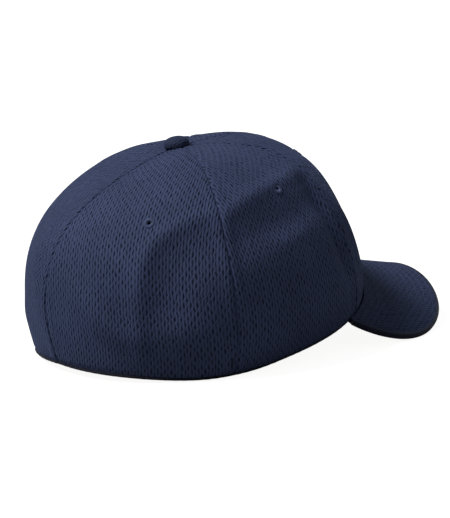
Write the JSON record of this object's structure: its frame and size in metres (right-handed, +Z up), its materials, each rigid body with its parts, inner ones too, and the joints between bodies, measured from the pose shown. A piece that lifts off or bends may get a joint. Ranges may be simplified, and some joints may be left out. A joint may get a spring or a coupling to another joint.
{
  "type": "baseball cap",
  "caption": "Closed-back cloth cap: panelled mesh crown with buttoned top, inner sweatband and a curved stiff visor that flexes on its seam.",
  "frame": {"origin": "on the table under the centre of the cap's box", "axes": "+Z up as the cap rests on a table, the visor points along -Y, the wearer's right is -X"},
  "size_m": [0.1882, 0.2646, 0.126],
  "materials": {
    "crown_cloth": "navy athletic mesh knit",
    "visor_cloth": "navy mesh knit, darker",
    "trim": "matt tape",
    "thread": "polyester thread, slight sheen",
    "buckram": "stiffened open weave",
    "seam_tape": "plain woven tape",
    "sweatband": "brushed twill",
    "foam": "soft open foam",
    "elastic": "knitted elastic",
    "woven_label": "blank damask label",
    "label": "blank satin label",
    "button_metal": "bare stamped metal",
    "washer": "moulded",
    "visor_board": "moulded sheet"
  },
  "bodies": {
    "crown": {"front_panel_right": "crown_cloth", "front_panel_left": "crown_cloth", "side_panel_right": "crown_cloth", "side_panel_left": "crown_cloth", "back_panel_right": "crown_cloth", "back_panel_left": "crown_cloth", "front_buckram_right": "buckram", "front_buckram_left": "buckram", "seam_tape_front": "seam_tape", "seam_tape_front_right": "seam_tape", "seam_tape_front_left": "seam_tape", "seam_tape_back_right": "seam_tape", "seam_tape_back_left": "seam_tape", "seam_tape_back": "seam_tape", "eyelet_front_right": "thread", "eyelet_front_left": "thread", "eyelet_side_right": "thread", "eyelet_side_left": "thread", "eyelet_back_right": "thread", "eyelet_back_left": "thread", "rim_binding": "trim", "hem_bar_tack": "thread", "sweatband_face": "sweatband", "sweatband_foam": "foam", "sweatband_elastic": "elastic", "sweatband_join_cover": "sweatband", "woven_label": "woven_label", "size_label": "label", "button_cover": "crown_cloth", "button_shell": "button_metal", "button_prong": "button_metal", "button_washer": "washer"},
    "visor": {"visor_board": "visor_board", "visor_top_cover": "visor_cloth", "visor_under_cover": "visor_cloth", "visor_edge": "visor_cloth", "visor_stitch_row_1": "thread", "visor_stitch_row_2": "thread", "visor_stitch_row_3": "thread", "visor_stitch_row_4": "thread", "visor_stitch_row_5": "thread", "visor_stitch_row_6": "thread", "visor_stitch_row_7": "thread", "visor_stitch_row_8": "thread"},
    "care_label": {"care_label": "label"}
  },
  "joints": [
    {"name": "visor_flex", "type": "hinge", "parent": "crown", "child": "visor", "pos_m": [0, -0.02568, 0.01698], "axis": [1, 0, 0], "range_deg": [-3, 12], "stiffness_Nm_per_rad": 2.5},
    {"name": "care_label_swing", "type": "hinge", "parent": "crown", "child": "care_label", "pos_m": [0, 0.11563, 0.07779], "axis": [-1, 0, 0], "range_deg": [0, 100]}
  ]
}
